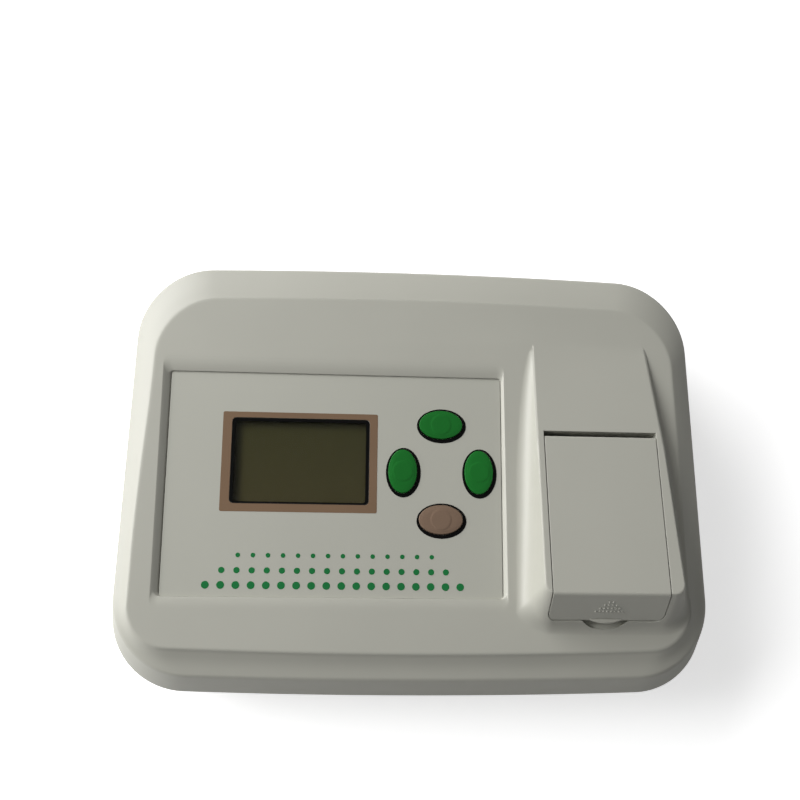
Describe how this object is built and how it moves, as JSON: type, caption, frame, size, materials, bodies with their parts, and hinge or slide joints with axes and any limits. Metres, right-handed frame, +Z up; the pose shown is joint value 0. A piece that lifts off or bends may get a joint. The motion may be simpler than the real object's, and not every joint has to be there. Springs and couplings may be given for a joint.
{
  "type": "colorimeter",
  "caption": "Desktop colorimeter: pale moulded case with a sloping keypad panel, a raised sample chamber under a hinged lid, and a mains inlet and serial port at the back",
  "frame": {"origin": "bottom centre of the whole instrument's box: on the bench, midway between the left and right feet and midway between the front and back of the case", "axes": "+Z up; +X to the right of someone facing the keypad, along the case's longer side; -Y towards that person, +Y towards the sockets at the back"},
  "size_m": [0.288, 0.216, 0.0758],
  "materials": {
    "case_plastic": "fine moulded texture",
    "tray_plastic": "fine moulded texture",
    "panel_film": "satin printed film",
    "window_plastic": "clear, over a dark display",
    "bezel_metal": "black painted",
    "lcd_glass": "polished",
    "circuit_board": "solder resist",
    "black_plastic": "moulded",
    "key_green": "semi-gloss moulded",
    "key_tan": "semi-gloss moulded",
    "rubber": "matt",
    "steel": "plated",
    "chamber_black": "matt, light-absorbing",
    "holder_black": "matt, light-absorbing",
    "lamp_glass": "polished",
    "lens_glass": "polished",
    "filter_glass": "polished",
    "capacitor_sleeve": "shrink sleeve",
    "heatsink_aluminium": "black anodised",
    "connector_plastic": "moulded",
    "core_iron": "varnished laminations",
    "winding_tape": "polyester tape",
    "painted_sheet": "powder coat",
    "drawer_plastic": "moulded",
    "rocker_plastic": "moulded"
  },
  "bodies": {
    "housing": {"top_cover": "case_plastic", "base_tray": "tray_plastic", "faceplate": "panel_film", "display_window": "window_plastic", "lcd_bezel": "bezel_metal", "lcd_glass": "lcd_glass", "lcd_board": "circuit_board", "keypad_board": "circuit_board", "key_switch_top": "black_plastic", "key_switch_left": "black_plastic", "key_switch_right": "black_plastic", "key_switch_bottom": "black_plastic", "chamber_liner": "chamber_black", "cell_holder": "holder_black", "lamp_housing": "black_plastic", "lamp": "lamp_glass", "condenser_lens": "lens_glass", "colour_filter": "filter_glass", "photodiode": "steel", "detector_board": "circuit_board", "main_board": "circuit_board", "processor_chip": "black_plastic", "memory_chip": "black_plastic", "filter_capacitor": "capacitor_sleeve", "output_capacitor": "capacitor_sleeve", "regulator_heatsink": "heatsink_aluminium", "ribbon_connector": "connector_plastic", "transformer_core": "core_iron", "transformer_winding": "winding_tape", "rear_panel": "painted_sheet", "power_inlet": "black_plastic", "inlet_blade_live": "steel", "inlet_blade_neutral": "steel", "inlet_blade_earth": "steel", "power_switch_frame": "black_plastic", "serial_port_shell": "steel", "serial_port_insert": "black_plastic", "foot_front_left": "rubber", "foot_front_right": "rubber", "foot_back_left": "rubber", "foot_back_right": "rubber", "screw_front_left": "steel", "screw_front_right": "steel", "screw_back_left": "steel", "screw_back_right": "steel"},
    "chamber_lid": {"lid": "case_plastic", "light_seal": "rubber", "hinge_pin_left": "steel", "hinge_pin_right": "steel"},
    "key_top_body": {"key_top": "key_green"},
    "key_left_body": {"key_left": "key_green"},
    "key_right_body": {"key_right": "key_green"},
    "key_bottom_body": {"key_bottom": "key_tan"},
    "rocker": {"power_switch_rocker": "rocker_plastic"},
    "fuse_carrier": {"fuse_drawer": "drawer_plastic", "fuse": "steel"}
  },
  "joints": [
    {"name": "lid_hinge", "type": "hinge", "parent": "housing", "child": "chamber_lid", "pos_m": [0.0881, 0.0055, 0.0686], "axis": [-1, 0, 0], "range_deg": [0, 105]},
    {"name": "key_top_press", "type": "slide", "parent": "housing", "child": "key_top_body", "axis": [0, 0.1444, -0.9895], "range_m": [0, 0.0006], "stiffness_N_per_m": 1000},
    {"name": "key_left_press", "type": "slide", "parent": "housing", "child": "key_left_body", "axis": [0, 0.1444, -0.9895], "range_m": [0, 0.0006], "stiffness_N_per_m": 1000},
    {"name": "key_right_press", "type": "slide", "parent": "housing", "child": "key_right_body", "axis": [0, 0.1444, -0.9895], "range_m": [0, 0.0006], "stiffness_N_per_m": 1000},
    {"name": "key_bottom_press", "type": "slide", "parent": "housing", "child": "key_bottom_body", "axis": [0, 0.1444, -0.9895], "range_m": [0, 0.0006], "stiffness_N_per_m": 1000},
    {"name": "rocker_pivot", "type": "hinge", "parent": "housing", "child": "rocker", "pos_m": [-0.008, 0.0895, 0.033], "axis": [-1, 0, 0], "range_deg": [0, 20]},
    {"name": "fuse_slide", "type": "slide", "parent": "housing", "child": "fuse_carrier", "axis": [0, 1, 0], "range_m": [0, 0.015]}
  ]
}
